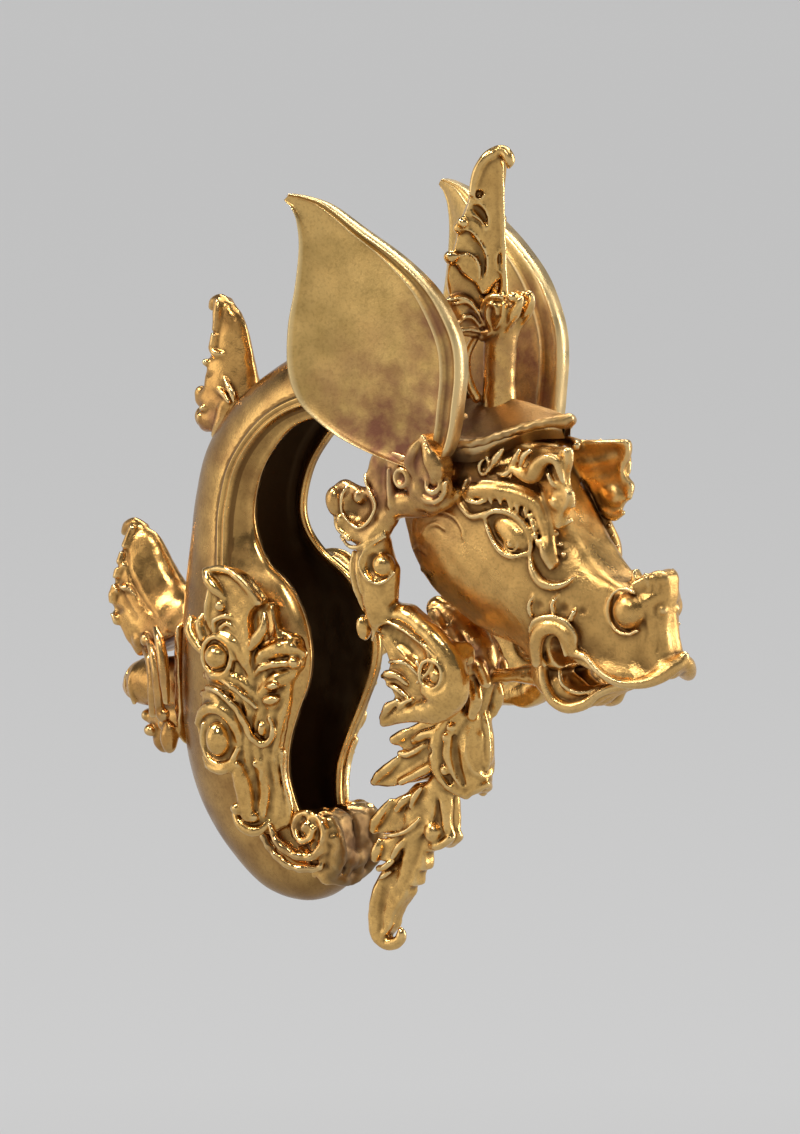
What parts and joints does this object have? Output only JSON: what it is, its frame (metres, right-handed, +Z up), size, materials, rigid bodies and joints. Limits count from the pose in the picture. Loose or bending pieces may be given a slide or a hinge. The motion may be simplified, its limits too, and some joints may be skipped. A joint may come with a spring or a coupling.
{
  "type": "animal head earring",
  "caption": "Gold hoop ear ornament whose front end is an animal head with long leaf-shaped ears, a flame crest, leafy side strands and relief masks on the hollow hoop.",
  "frame": {"origin": "inside top of the hoop, where the ear lobe sits", "axes": "+X the way the animal's head looks, +Z up, +Y towards the animal's left ear"},
  "size_m": [0.0435, 0.0136, 0.0464],
  "materials": {
    "hoop": "worn cast gold, dark inside",
    "head": "worn cast gold with fine pitting",
    "right_ear": "dull gold sheet with fine scratches",
    "left_ear": "dull gold sheet with fine scratches",
    "crest": "cast gold with red-brown tarnish",
    "brow_plate": "cast gold with red-brown tarnish",
    "right_strand": "cast gold",
    "left_strand": "cast gold",
    "pendant": "cast gold",
    "right_mask": "cast gold",
    "left_mask": "cast gold",
    "back_mask": "cast gold",
    "shoulder_crest": "cast gold"
  },
  "bodies": {
    "root": {"hoop": "hoop", "head": "head", "right_ear": "right_ear", "left_ear": "left_ear", "crest": "crest", "brow_plate": "brow_plate", "right_strand": "right_strand", "left_strand": "left_strand", "pendant": "pendant", "right_mask": "right_mask", "left_mask": "left_mask", "back_mask": "back_mask", "shoulder_crest": "shoulder_crest"}
  },
  "joints": []
}
